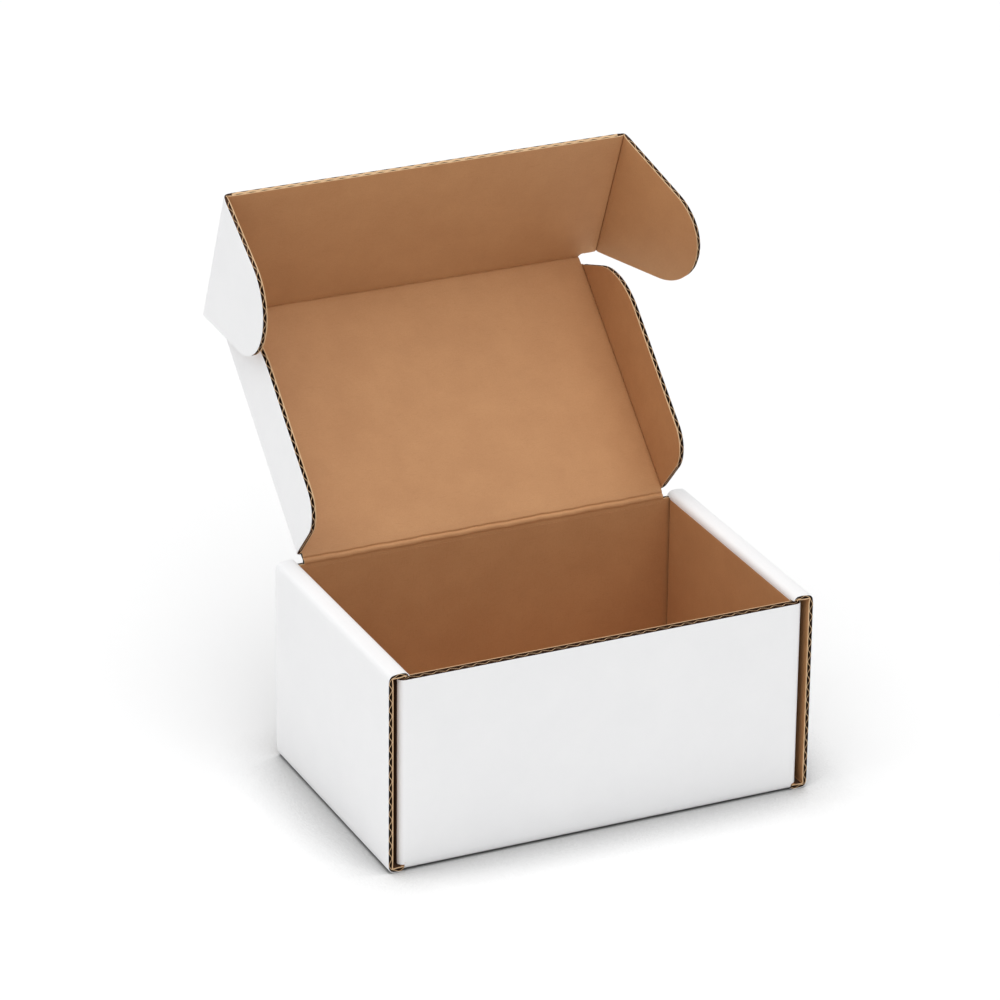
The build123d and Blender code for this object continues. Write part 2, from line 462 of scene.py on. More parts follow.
@dataclass
class Layout:
    """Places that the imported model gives, and the clearances between the box's layers, in metres."""

    stock: Stock
    frame: dict
    slot: float = 2.75 * MM
    layer_gap: float = 0.15 * MM
    lid_gap: float = 0.3 * MM
    fold_gap: float = 1.55 * MM
    relief: float = 0.5 * MM
    bottom_fold: float = 4.0 * MM
    tuck_height: float = 76.0 * MM
    ear_foot: float = 2.5 * MM
    notch_round: float = 2.2 * MM
    low: np.ndarray = field(init=False)
    high: np.ndarray = field(init=False)
    hinge: np.ndarray = field(init=False)
    crease: np.ndarray = field(init=False)
    wing_x: float = field(init=False)
    ear_x: float = field(init=False)
    lid_up: np.ndarray = field(init=False)
    tuck_up: np.ndarray = field(init=False)
    lid_inside: np.ndarray = field(init=False)
    tuck_inside: np.ndarray = field(init=False)
    lid_length: float = field(init=False)

    def __post_init__(self) -> None:
        """Reads the tray's corners and the joints' places and axes."""
        self.low, self.high = (np.array(corner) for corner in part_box("tray"))
        joints = {joint["name"]: joint for joint in self.frame["joints"]}
        self.hinge = np.array(joints["lid_hinge"]["pos_m"], dtype=float)
        self.crease = np.array(joints["tuck_fold"]["pos_m"], dtype=float)
        self.wing_x = joints["wing_fold_right"]["pos_m"][0]
        self.ear_x = joints["ear_fold_right"]["pos_m"][0]
        self.lid_up = np.array(joints["wing_fold_right"]["axis"], dtype=float)
        self.tuck_up = np.array(joints["ear_fold_right"]["axis"], dtype=float)
        self.lid_inside = np.array([0.0, -self.lid_up[2], self.lid_up[1]])
        self.tuck_inside = np.array([0.0, -self.tuck_up[2], self.tuck_up[1]])
        self.lid_length = float(np.linalg.norm(self.crease - self.hinge))

    @property
    def outer_x(self) -> float:
        """Middle plane of an outer side wall."""
        return float(self.high[0]) - self.stock.half

    @property
    def return_x(self) -> float:
        """Middle plane of a corner return."""
        return self.outer_x - self.stock.thickness - self.slot

    @property
    def inner_x(self) -> float:
        """Middle plane of an inner side wall."""
        return self.return_x - self.stock.thickness - self.layer_gap

    @property
    def wall_y(self) -> float:
        """Middle plane of the back wall."""
        return float(self.high[1]) - self.stock.half

    @property
    def strip_z(self) -> float:
        """Middle plane of the rims."""
        return float(self.high[2]) - self.stock.half

    @property
    def lid_edge(self) -> float:
        """Half of the lid's width at its hinge."""
        return self.wing_x - self.fold_gap

    @property
    def notch_end(self) -> float:
        """Where the tuck flap's notch has left its round, from the middle out."""
        return self.lid_edge + self.notch_round

    @property
    def wing_end(self) -> float:
        """Where a wing's fold ends, from the hinge up: 1.5 boards and two gaps short of the tray's depth."""
        depth = self.lid_length - self.lid_gap
        return depth - 1.5 * self.stock.thickness - 2 * self.lid_gap


@dataclass(frozen=True)
class Score:
    """A score line pressed into the inside of a fold, and the bead raised beside it, in metres."""

    depth: float = 0.35 * MM
    width: float = 0.55 * MM
    shift: float = 0.0
    bead: float = 0.0
    bead_width: float = 0.7 * MM
    bead_shift: float = 0.0
    stray: float = 0.0


@dataclass
class Crease:
    """A fold that turns: a short stretch of board bent between a panel and its flap."""

    fold: np.ndarray
    ahead: np.ndarray
    inside: np.ndarray
    onward: np.ndarray
    along: np.ndarray
    stock: Stock
    score: Score = Score()
    track: Track = field(init=False)

    def __post_init__(self) -> None:
        """Lays the middle line round the fold."""
        reach = self.stock.crease_reach
        turned = np.array([self.onward @ self.ahead, self.onward @ self.inside])
        corners = np.array([[-reach, 0.0], [0.0, 0.0], turned * reach])
        axes = (self.ahead, self.inside)
        track = Track.folded(corners, self.stock.crease_radius, axes, -1, self.stock.finer())
        self.track = track.moved(self.fold)

    def distance(self) -> np.ndarray:
        """Distance from the fold of each point of the middle line, below zero on the panel's side."""
        middle = self.track.run[-1] / 2
        return (self.track.run - middle) * self.stock.crease_reach / middle

    def build(self, start: np.ndarray | float, stop: np.ndarray | float, rows: int = 60) -> Shell:
        """Makes the bent board: a printed liner, a scored kraft liner and a core in painted shade between
        them.

        The inside is pressed in and raised by bell curves of the distance from the score line and from its
        bead. Both stray along the fold by a sum of sines. The core stops short of the crease's ends.

        Args:
            start: Where the crease starts along the fold, by point.
            stop: Where it stops.
            rows: How many rows it has along the fold.

        Returns:
            The crease's shell.
        """
        score = self.score
        half = self.stock.half * self.track.crush
        share = np.linspace(0, 1, rows)[:, None]
        sway = sum(strength * np.sin(share * turn + phase) for turn, strength, phase in SCORE_WAVES)
        place = self.track.run - self.track.run[-1] / 2 - score.stray * sway
        pressed = score.depth * np.exp(-(((place - score.shift) / score.width) ** 2))
        raised = score.bead * np.exp(-(((place - score.bead_shift) / score.bead_width) ** 2))
        inside = pressed - raised - half
        top = half - self.stock.print_liner
        bottom = inside + self.stock.kraft_liner
        recess = self.stock.core_recess
        # The core and the liners' faces towards it get painted shade, which stands for the shade inside the
        # flutes
        outer = BandFaces(Finish.PRINT, Finish.FLUTE, Finish.PRINT)
        inner = BandFaces(Finish.FLUTE, Finish.KRAFT)
        core = BandFaces(Finish.FLUTE, Finish.FLUTE, Finish.FLUTE)
        deepest = bottom.max(axis=0)
        return Shell.joined([
            band(self.track, top, half, self.along, start, stop, outer, self.stock),
            band(self.track, inside, bottom, self.along, start, stop, inner, self.stock, rows),
            band(self.track, deepest, top, self.along, start + recess, stop - recess, core, self.stock),
        ])

    def ends(self) -> tuple[Vector, Vector]:
        """Points before and after the fold, between which the crease turns."""
        turn = self.stock.crease_turn
        return Vector(self.fold - self.ahead * turn), Vector(self.fold + self.onward * turn)


@dataclass
class Piece:
    """A finished shell, and the body that it rides on or the two bodies on either side of its fold."""

    name: str
    shell: Shell
    bodies: tuple[str, ...]
    node: str | None = None
    crease: Crease | None = None

    def dress(self, finishes: list[bpy.types.Material]) -> None:
        """Makes the object and hangs it on its body; a crease stays fixed where it was built, on no body.

        Args:
            finishes: One material for each finish, in their order.
        """
        piece = self.shell.to_object(self.name, finishes)
        if self.crease is None:
            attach(piece, self.bodies[0])
        else:
            start, end = self.crease.ends()
            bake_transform(piece)
        if self.node is not None:
            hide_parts(self.node)
        LOG.info("%s rides on %s with %d faces", self.name, "/".join(self.bodies), len(piece.data.polygons))


@dataclass
class Flap:
    """A rounded flap: its outline from its fold, and the way it stands at rest."""

    name: str
    panel: str
    node: str
    root: np.ndarray
    up: np.ndarray
    inside: np.ndarray
    side: int
    angle: float
    corners: np.ndarray
    rounds: tuple[float, float]
    stock: Stock
    score: Score = Score(depth=0.75 * MM, width=0.45 * MM)
    least: float = 0.1 * MM
    least_step: float = 0.01 * MM
    outward: np.ndarray = field(init=False)
    out: np.ndarray = field(init=False)
    face: np.ndarray = field(init=False)
    reach: np.ndarray = field(init=False)
    height: np.ndarray = field(init=False)

    def __post_init__(self) -> None:
        """Works out the flap's own directions and its rounded outline."""
        turn = math.radians(self.angle)
        self.outward = ACROSS * self.side
        self.out = self.outward * math.cos(turn) + self.inside * math.sin(turn)
        self.face = self.outward * math.sin(turn) - self.inside * math.cos(turn)
        self.reach, self.height = self.outline()

    def outline(self) -> tuple[np.ndarray, np.ndarray]:
        """Rounds the two free corners with arcs.

        An arc of radius r and turn a leaves the edges r tan(a/2) from its corner. Each place along the fold
        is raised by a hair more than the one before, so that no two are the same.

        Returns:
            Distance from the fold and place along the fold, for points in order along the outline.
        """
        stretches = [self.corners[:1]]
        for index, radius in enumerate(self.rounds, start=1):
            before = self.corners[index] - self.corners[index - 1]
            after = self.corners[index + 1] - self.corners[index]
            before = before / np.linalg.norm(before)
            after = after / np.linalg.norm(after)
            turn = math.acos(float(np.dot(before, after)))
            tangent = radius * math.tan(turn / 2)
            swing = np.linspace(0, turn, ROUND_POINTS)[:, None]
            inward = after - before * math.cos(turn)
            inward = inward / np.linalg.norm(inward)
            begin = self.corners[index] - before * tangent
            stretches.append(begin + radius * (np.sin(swing) * before + (1 - np.cos(swing)) * inward))
        line = np.concatenate(stretches + [self.corners[-1:]])
        return line[:, 0], line[:, 1] + np.arange(len(line)) * TINY

    def panel_shell(self) -> Shell:
        """Makes the flap's board, with its flutes square to the fold.

        Point (u, v) lies u along the fold and v of the way from the crease to the outline. The flutes are
        spaced by the length along the outline, so that its cut edge shows them evenly.

        Returns:
            The flap's shell, outside its crease.
        """
        start = self.stock.crease_reach
        steps = np.hypot(np.diff(self.reach), np.diff(self.height))
        length = np.concatenate([[0.0], np.cumsum(steps)])
        run = even_places(0.0, length[-1], self.stock, tuple(length))
        stop = np.interp(run, length, self.reach)
        places = np.interp(run, length, self.height)
        keep = (stop > start + self.least) & (np.diff(places, append=np.inf) > self.least_step)
        track = Track.straight(places[keep], self.root, self.up, self.face)
        track = replace(track, run=run[keep])
        return Shell.joined(board(track, self.out, start, stop[keep], self.stock))

    def crease_ends(self, distance: np.ndarray) -> tuple[np.ndarray, np.ndarray]:
        """Where the crease starts and stops along the fold, at each distance from it.

        Args:
            distance: Distance from the fold, below zero on the panel's side.

        Returns:
            Starts and stops along the fold.
        """
        peak = int(np.argmax(self.reach))
        away = np.maximum(distance, 0)
        first = np.interp(away, self.reach[: peak + 1], self.height[: peak + 1])
        last = np.interp(away, self.reach[peak:][::-1], self.height[peak:][::-1])
        return first, last

    def build(self) -> list[Piece]:
        """Makes the flap and the fold between it and its panel.

        Returns:
            The two pieces.
        """
        ways = (self.outward, self.inside, self.out, self.up)
        crease = Crease(self.root, *ways, self.stock, self.score)
        first, last = self.crease_ends(crease.distance())
        return [
            Piece(f"{self.name}_board", self.panel_shell(), (self.node,), self.node),
            Piece(f"{self.name}_crease", crease.build(first, last), (self.panel, self.node), None, crease),
        ]


@dataclass
class Tray:
    """The folded and locked tray: side strip, front and back walls, bottom folds and tabs."""

    layout: Layout
    corner_return: float = 58.0 * MM
    tab_width: float = 16.0 * MM
    tab_spacing: float = 60.0 * MM
    tab_gap: float = 0.25 * MM
    tab_recess: float = 0.3 * MM
    rim_crown: float = 0.5 * MM
    print_turn: float = 0.3 * MM
    corner_slit: float = 1.0 * MM
    front_slant: float = 1.2 * MM

    def build(self) -> list[Piece]:
        """Makes the tray as one piece.

        Returns:
            The piece, in a list.
        """
        shells = self.side_strip() + self.tabs()
        for front in (-1, 1):
            shells += self.end_wall(front)
            shells.append(self.bottom_fold(front))
        return [Piece("tray_board", Shell.joined(shells), ("tray",), "tray")]

    def side_strip(self) -> list[Shell]:
        """Makes base, outer walls, rims and inner walls as one bent strip, with slots for the tabs.

        The strip's section lies across the box, and its flutes run along the depth. The print ends just
        below the rims' inner folds, and where the base lies in the corner slots it gets painted shade.

        Returns:
            The strip's shells.
        """
        place = self.layout
        stock = place.stock
        inner, outer, top = place.inner_x, place.outer_x, place.strip_z
        foot = stock.thickness + place.layer_gap
        shoulder = top - self.rim_crown
        right = np.array([[outer, stock.half], [outer, shoulder], [inner, top], [inner, foot]])
        corners = np.concatenate([right[::-1] * (-1, 1), right])
        track = Track.folded(corners, stock.fold_radius, (ACROSS, UPRIGHT), -1, stock)
        x = np.abs(track.points[:, 0])
        z = track.points[:, 2]
        lower = z < stock.half + TINY
        upright = (x < inner + TINY) & ~lower & (z < top - stock.fold_radius + TINY)
        kraft = upright & (z < top - stock.fold_radius - self.print_turn)
        end = np.full(len(x), float(place.high[1]))
        end[upright] -= stock.thickness + self.corner_slit
        end[lower & (x < place.return_x - stock.fold_radius)] -= place.bottom_fold
        white = np.where(kraft, Finish.KRAFT, Finish.PRINT)
        # Painted shade: the base's inside is painted near-black where it lies in the corner slots
        shaded = np.where(lower & (x > place.return_x), Finish.FLUTE, Finish.KRAFT)
        slotted = lower & (np.abs(x - inner) < stock.half + self.tab_gap)
        tab_half = self.tab_width / 2 + self.tab_gap
        middle = self.tab_spacing / 2
        shells = []
        changes = np.flatnonzero(np.diff(slotted.astype(int))) + 1
        for stretch in np.split(np.arange(len(x)), changes):
            span = np.arange(stretch[0], min(stretch[-1] + 2, len(x)))
            piece = track.part(span)
            reach = end[span]
            faces = (white[span[:-1]], shaded[span[:-1]])
            lengths = [(-reach, reach)]
            if slotted[stretch[0]]:
                lengths = [
                    (-reach, -middle - tab_half),
                    (tab_half - middle, middle - tab_half),
                    (middle + tab_half, reach),
                ]
            for first, last in lengths:
                shells += board(piece, DEPTHWISE, first, last, stock, *faces)
        return shells

    def tabs(self) -> list[Shell]:
        """Makes the inner walls' tabs, which stand in the slots of the base.

        Returns:
            The tabs' shells.
        """
        place = self.layout
        stock = place.stock
        places = even_places(self.tab_recess, stock.thickness + place.layer_gap, stock)
        shells = []
        for side in (-1, 1):
            origin = ACROSS * side * place.inner_x
            track = Track.straight(places, origin, UPRIGHT, -ACROSS * side)
            for middle in (-self.tab_spacing / 2, self.tab_spacing / 2):
                edges = (middle - self.tab_width / 2, middle + self.tab_width / 2)
                shells += board(track, DEPTHWISE, *edges, stock, Finish.KRAFT)
        return shells

    def end_wall(self, front: int) -> list[Shell]:
        """Makes the front or back wall with its two corner returns.

        The wall's section lies flat, and its flutes stand upright. Past the corner folds the printed face
        gets painted shade instead of print, so that the slots beside the wall look dark inside. The front
        wall's top is cut at a slant, which shows its flutes.

        Args:
            front: -1 for the front wall, 1 for the back wall.

        Returns:
            The wall's shells.
        """
        place = self.layout
        stock = place.stock
        wall = front * place.wall_y
        tip = front * (place.wall_y - self.corner_return)
        side = place.return_x
        corners = np.array([[-side, tip], [-side, wall], [side, wall], [side, tip]])
        track = Track.folded(corners, stock.fold_radius, (ACROSS, DEPTHWISE), front, stock)
        x = np.abs(track.points[:, 0])
        middles = (x[1:] + x[:-1]) / 2
        # Painted shade: past the corner folds the printed face is painted near-black, for the shade inside
        # the slots
        printed = np.where(middles < side - TINY, Finish.PRINT, Finish.FLUTE)
        flat = x < side - stock.fold_radius - TINY
        bottom = np.where(flat, place.bottom_fold, stock.thickness + place.relief)
        if front < 0:
            top = np.full(len(x), place.strip_z - stock.fold_radius - place.lid_gap)
            return board(track, UPRIGHT, bottom, top, stock, printed, slant=self.front_slant)
        hinged = x < place.lid_edge
        top = np.where(hinged, place.hinge[2] - stock.crease_reach, place.hinge[2] - place.fold_gap)
        return board(track, UPRIGHT, bottom, top, stock, printed)

    def bottom_fold(self, front: int) -> Shell:
        """Makes the fold between the base and the front or back wall.

        Args:
            front: -1 for the front wall, 1 for the back wall.

        Returns:
            The fold's shell.
        """
        place = self.layout
        stock = place.stock
        wall = front * place.wall_y
        rim = front * (float(place.high[1]) - place.bottom_fold)
        corners = np.array([[rim, stock.half], [wall, stock.half], [wall, place.bottom_fold]])
        track = Track.folded(corners, stock.fold_radius, (DEPTHWISE, UPRIGHT), -front, stock)
        half = stock.half * track.crush
        width = place.return_x - stock.fold_radius
        faces = BandFaces(Finish.PRINT, Finish.KRAFT)
        return band(track, -half, half, ACROSS, -width, width, faces, stock)


@dataclass
class Lid:
    """The lid panel, the tuck flap and the folds between them."""

    layout: Layout
    crease_rows: int = 160
    sliver_points: int = 4
    notch_step: float = 0.02 * MM
    hinge_score: Score = Score(
        depth=0.6 * MM,
        width=0.42 * MM,
        shift=0.6 * MM,
        bead=0.3 * MM,
        bead_width=0.75 * MM,
        bead_shift=-0.8 * MM,
        stray=0.12 * MM,
    )
    tuck_score: Score = Score(stray=0.08 * MM)

    def build(self) -> list[Piece]:
        """Makes the lid's two panels and two long folds.

        Returns:
            The four pieces.
        """
        edge = self.layout.lid_edge
        hinge, tuck = self.hinge_crease(), self.tuck_crease()
        notch = self.notch(tuck.distance())
        hinge_shell = hinge.build(-edge, edge, self.crease_rows)
        tuck_shell = tuck.build(-notch, notch, self.crease_rows)
        return [
            Piece("lid_board", self.panel(), ("lid_panel",), "lid_panel"),
            Piece("tuck_board", self.tuck(), ("tuck_flap",), "tuck_flap"),
            Piece("hinge_crease", hinge_shell, ("tray", "lid_panel"), None, hinge),
            Piece("tuck_crease", tuck_shell, ("lid_panel", "tuck_flap"), None, tuck),
        ]

    def panel(self) -> Shell:
        """Makes the lid panel between its creases, with the slivers beside the wings' ends.

        Returns:
            The panel's shell.
        """
        place = self.layout
        stock = place.stock
        high = place.lid_length - stock.crease_reach
        edge = place.wing_x - stock.crease_reach
        track = Track.straight(even_places(-edge, edge, stock), place.hinge, ACROSS, -place.lid_inside)
        shells = board(track, place.lid_up, stock.crease_reach, high, stock)
        for side in (-1, 1):
            places = np.sort(side * np.linspace(edge, place.lid_edge, self.sliver_points))
            sliver = Track.straight(places, place.hinge, ACROSS, -place.lid_inside)
            shells += board(sliver, place.lid_up, place.wing_end, high, stock)
        return Shell.joined(shells)

    def notch(self, distance: np.ndarray) -> np.ndarray:
        """Half of the tuck flap's width at each distance above its fold, round the notch's inner corner.

        Within the round of radius r, whose centre is c above the fold, it is the lid's half width plus
        r minus the square root of r squared less the square of the distance from c.

        Args:
            distance: Distances from the fold, below zero on the lid's side.

        Returns:
            Half widths.
        """
        radius = self.layout.notch_round
        above = np.clip(distance - (self.layout.ear_foot - radius), 0, radius)
        return self.layout.notch_end - np.sqrt(radius**2 - above**2)

    def tuck(self) -> Shell:
        """Makes the tuck flap, whose flutes show along its free edge.

        Returns:
            The flap's shell, outside its creases.
        """
        place = self.layout
        stock = place.stock
        edge = place.ear_x - stock.crease_reach
        step = place.notch_end
        near = self.notch_step
        extra = (-step - near, -step + near, step - near, step + near)
        places = even_places(-edge, edge, stock, extra)
        track = Track.straight(places, place.crease, ACROSS, -place.tuck_inside)
        start = np.where(np.abs(places) < step, stock.crease_reach, place.ear_foot)
        return Shell.joined(board(track, place.tuck_up, start, place.tuck_height, stock.pressed()))

    def hinge_crease(self) -> Crease:
        """The fold between the back wall and the lid."""
        place = self.layout
        return Crease(place.hinge, UPRIGHT, -DEPTHWISE, place.lid_up, ACROSS, place.stock, self.hinge_score)

    def tuck_crease(self) -> Crease:
        """The fold between the lid and the tuck flap."""
        place = self.layout
        ways = (place.lid_up, place.lid_inside, place.tuck_up, ACROSS)
        return Crease(place.crease, *ways, place.stock, self.tuck_score)


@dataclass(frozen=True)
class FlapShapes:
    """Outlines of the wings and ears, in metres and degrees."""

    wing_back: float = 37.0 * MM
    wing_front: float = 37.5 * MM
    wing_slant: float = 21.5 * MM
    wing_rounds: tuple[float, float] = (15.0 * MM, 38.0 * MM)
    wing_angle: float = 90.0
    ear_length: float = 57.5 * MM
    ear_taper: float = 15.0 * MM
    ear_slope: float = 17.5
    ear_rounds: tuple[float, float] = (26.0 * MM, 26.0 * MM)
    ear_angles: tuple[float, float] = (92.0, 68.0)

    def flaps(self, place: Layout) -> list[Flap]:
        """Lists the four flaps.

        Args:
            place: The box's places.

        Returns:
            Left and right wing and ear.
        """
        stock = place.stock
        wing_foot = stock.crease_reach
        wing = np.array([
            [0.0, wing_foot],
            [self.wing_back, wing_foot],
            [self.wing_front, place.wing_end - self.wing_slant],
            [0.0, place.wing_end],
        ])
        rise = self.ear_length * math.tan(math.radians(self.ear_slope))
        ear = np.array([
            [0.0, place.ear_foot],
            [self.ear_length, place.ear_foot + rise],
            [self.ear_length, place.tuck_height - self.ear_taper],
            [0.0, place.tuck_height],
        ])
        found = []
        for word, side, angle in (("left", -1, self.ear_angles[0]), ("right", 1, self.ear_angles[1])):
            found.append(Flap(
                f"wing_{word}", "lid_panel", f"lid_wing_{word}", place.hinge + ACROSS * side * place.wing_x,
                place.lid_up, place.lid_inside, side, self.wing_angle, wing, self.wing_rounds, stock,
            ))
            found.append(Flap(
                f"ear_{word}", "tuck_flap", f"tuck_ear_{word}", place.crease + ACROSS * side * place.ear_x,
                place.tuck_up, place.tuck_inside, side, angle, ear, self.ear_rounds, stock,
            ))
        return found


@dataclass(frozen=True)
class Noise:
    """Settings of a noise texture: its scale, its layers of detail, their roughness and its distortion."""

    scale: float
    detail: float
    roughness: float = 0.5
    distortion: float = 0.0


class Nodes:
    """Adds nodes to a tree and links them."""

    def __init__(self, tree: bpy.types.NodeTree) -> None:
        """Starts on an empty tree."""
        self.tree = tree
        tree.nodes.clear()

    def add(self, kind: str, settings: dict | None = None, **inputs: object) -> bpy.types.Node:
        """Adds a node.

        Args:
            kind: The node's type.
            settings: Attributes of the node itself.
            inputs: Values or sockets for its inputs, by name, with _ for a space, or by number as i0, i1.

        Returns:
            The node.
        """
        node = self.tree.nodes.new(kind)
        for name, value in (settings or {}).items():
            setattr(node, name, value)
        for name, value in inputs.items():
            number = name[1:]
            socket = node.inputs[int(number)] if number.isdigit() else node.inputs[name.replace("_", " ")]
            self.feed(socket, value)
        return node

    def feed(self, socket: bpy.types.NodeSocket, value: object) -> None:
        """Links an input to another node's output, or sets it to a plain value.

        Args:
            socket: The input.
            value: A socket or a value.
        """
        if isinstance(value, bpy.types.NodeSocket):
            self.tree.links.new(value, socket)
        else:
            socket.default_value = value

    def noise(self, place: bpy.types.NodeSocket, noise: Noise) -> bpy.types.NodeSocket:
        """Adds a noise texture, looked up at a place, and gives its strength."""
        inputs = {name.capitalize(): value for name, value in asdict(noise).items()}
        return self.add("ShaderNodeTexNoise", Vector=place, **inputs).outputs["Fac"]

    def math(self, operation: str, *values: object) -> bpy.types.NodeSocket:
        """Adds a sum, product or other operation on numbers and gives its result."""
        inputs = {f"i{index}": value for index, value in enumerate(values)}
        return self.add("ShaderNodeMath", {"operation": operation}, **inputs).outputs[0]

    def ranged(
        self, value: bpy.types.NodeSocket, low: float, high: float, first: float, last: float
    ) -> bpy.types.NodeSocket:
        """Maps a value from one range to another, clamped, and gives the result."""
        inputs = {"Value": value, "From_Min": low, "From_Max": high, "To_Min": first, "To_Max": last}
        return self.add("ShaderNodeMapRange", **inputs).outputs[0]

    def mixed(self, share: bpy.types.NodeSocket, first: object, second: object) -> bpy.types.NodeSocket:
        """Mixes two colours.

        Args:
            share: How much of the second colour there is.
            first: A socket or three numbers.
            second: A socket or three numbers.

        Returns:
            The mixed colour.
        """
        node = self.add("ShaderNodeMix", {"data_type": "RGBA"}, Factor=share)
        for number, value in zip(MIX_COLOURS, (first, second)):
            plain = not isinstance(value, bpy.types.NodeSocket)
            self.feed(node.inputs[number], (*value, 1.0) if plain else value)
        return node.outputs[MIX_RESULT]

    def finish(self, shader: bpy.types.Node) -> None:
        """Links a shader to the material's output."""
        self.add("ShaderNodeOutputMaterial", Surface=shader.outputs[0])


def shader_group(name: str, outputs: tuple[str, ...]) -> tuple[Nodes, bpy.types.Node]:
    """Starts a shader node group that gives plain numbers.

    Args:
        name: The group's name.
        outputs: Names of its outputs.

    Returns:
        The node adder and the group's output node.
    """
    tree = bpy.data.node_groups.new(name, "ShaderNodeTree")
    for label in outputs:
        tree.interface.new_socket(label, in_out="OUTPUT", socket_type="NodeSocketFloat")
    nodes = Nodes(tree)
    return nodes, nodes.add("NodeGroupOutput")


@dataclass(frozen=True)
class PaperLook:
    """Noise that makes the paper's look, with the stretches of its fibres and their turns in radians."""

    cloud: Noise = Noise(scale=55.0, detail=4.0, roughness=0.6)
    grain: Noise = Noise(scale=1500.0, detail=3.0, roughness=0.7)
    fibre: Noise = Noise(scale=1.0, detail=2.0, distortion=0.6)
    fibre_stretches: tuple[tuple[float, ...], ...] = ((2600.0, 2600.0, 260.0), (260.0, 2600.0, 2600.0))
    fibre_turns: tuple[tuple[float, ...], ...] = ((0.5, 0.3, 0.2), (0.2, 0.4, 0.6))
    fibre_peak: tuple[float, float] = (0.6, 0.72)
    waver: Noise = Noise(scale=40.0, detail=2.0)
    waver_share: float = 0.15

    def paper_group(self) -> bpy.types.NodeTree:
        """Builds the paper's look: broad clouds, fine grain and scattered fibres.

        Clouds and grain are noise. Fibres are noise stretched along two directions, kept where it peaks.

        Returns:
            The group, with Cloud, Grain and Fibre from 0 to 1.
        """
        nodes, leave = shader_group("paper", ("Cloud", "Grain", "Fibre"))
        place = nodes.add("ShaderNodeTexCoord").outputs["Object"]
        fibres = []
        for stretch, turn in zip(self.fibre_stretches, self.fibre_turns):
            turned = nodes.add("ShaderNodeMapping", Vector=place, Rotation=turn, Scale=stretch).outputs[0]
            fibres.append(nodes.ranged(nodes.noise(turned, self.fibre), *self.fibre_peak, 0.0, 1.0))
        nodes.feed(leave.inputs["Cloud"], nodes.noise(place, self.cloud))
        nodes.feed(leave.inputs["Grain"], nodes.noise(place, self.grain))
        nodes.feed(leave.inputs["Fibre"], nodes.math("MAXIMUM", *fibres))
        return nodes.tree

    def flute_group(self) -> bpy.types.NodeTree:
        """Builds the faint washboard that flutes press into a liner: a sine of the distance across them.

        Returns:
            The group, with Ridge from 0 to 1.
        """
        nodes, leave = shader_group("flute_lines", ("Ridge",))
        spot = nodes.add("ShaderNodeUVMap", {"uv_map": FLUTE_MAP}).outputs[0]
        across = nodes.add("ShaderNodeSeparateXYZ", i0=spot).outputs[0]
        place = nodes.add("ShaderNodeTexCoord").outputs["Object"]
        sway = nodes.math("MULTIPLY", nodes.noise(place, self.waver), self.waver_share)
        wave = nodes.math("SINE", nodes.math("MULTIPLY", nodes.math("ADD", across, sway), 2 * math.pi))
        nodes.feed(leave.inputs["Ridge"], nodes.math("MULTIPLY_ADD", wave, 0.5, 0.5))
        return nodes.tree


@dataclass(frozen=True)
class PaperFinish:
    """One paper surface: its colours, how much fibres and clouds show, and its relief in metres."""

    name: str
    colour: tuple[float, float, float]
    shade: tuple[float, float, float]
    fibre_colour: tuple[float, float, float]
    roughness: tuple[float, float]
    fibre: float
    cloud: float = 0.8
    specular: float = 0.3
    grain_height: float = 2.0e-5
    flute_height: float = 0.0

    def build(self, paper: bpy.types.NodeTree, flutes: bpy.types.NodeTree) -> bpy.types.Material:
        """Makes the material.

        Args:
            paper: The group of clouds, grain and fibres.
            flutes: The group of washboard lines.

        Returns:
            The material.
        """
        material = bpy.data.materials.new(self.name)
        material.use_nodes = True
        nodes = Nodes(material.node_tree)
        sheet = nodes.add("ShaderNodeGroup", {"node_tree": paper})
        lines = nodes.add("ShaderNodeGroup", {"node_tree": flutes})
        cloud = nodes.ranged(sheet.outputs["Cloud"], *NOISE_RANGE, 0.0, self.cloud)
        grain = nodes.ranged(sheet.outputs["Grain"], *NOISE_RANGE, 0.0, self.cloud * GRAIN_SHARE)
        tone = nodes.mixed(nodes.math("ADD", cloud, grain), self.colour, self.shade)
        fibre = nodes.math("MULTIPLY", sheet.outputs["Fibre"], self.fibre)
        colour = nodes.mixed(fibre, tone, self.fibre_colour)
        rough = nodes.ranged(sheet.outputs["Grain"], *NOISE_RANGE, *self.roughness)
        relief = nodes.math("MULTIPLY", sheet.outputs["Grain"], self.grain_height)
        ridge = nodes.math("MULTIPLY", lines.outputs["Ridge"], self.flute_height)
        height = nodes.math("ADD", relief, ridge)
        bump = nodes.add("ShaderNodeBump", Height=height, Strength=1.0, Distance=1.0)
        inputs = {"Base_Color": colour, "Roughness": rough, "Normal": bump.outputs[0]}
        shader = nodes.add("ShaderNodeBsdfPrincipled", **inputs, Specular_IOR_Level=self.specular)
        nodes.finish(shader)
        return material


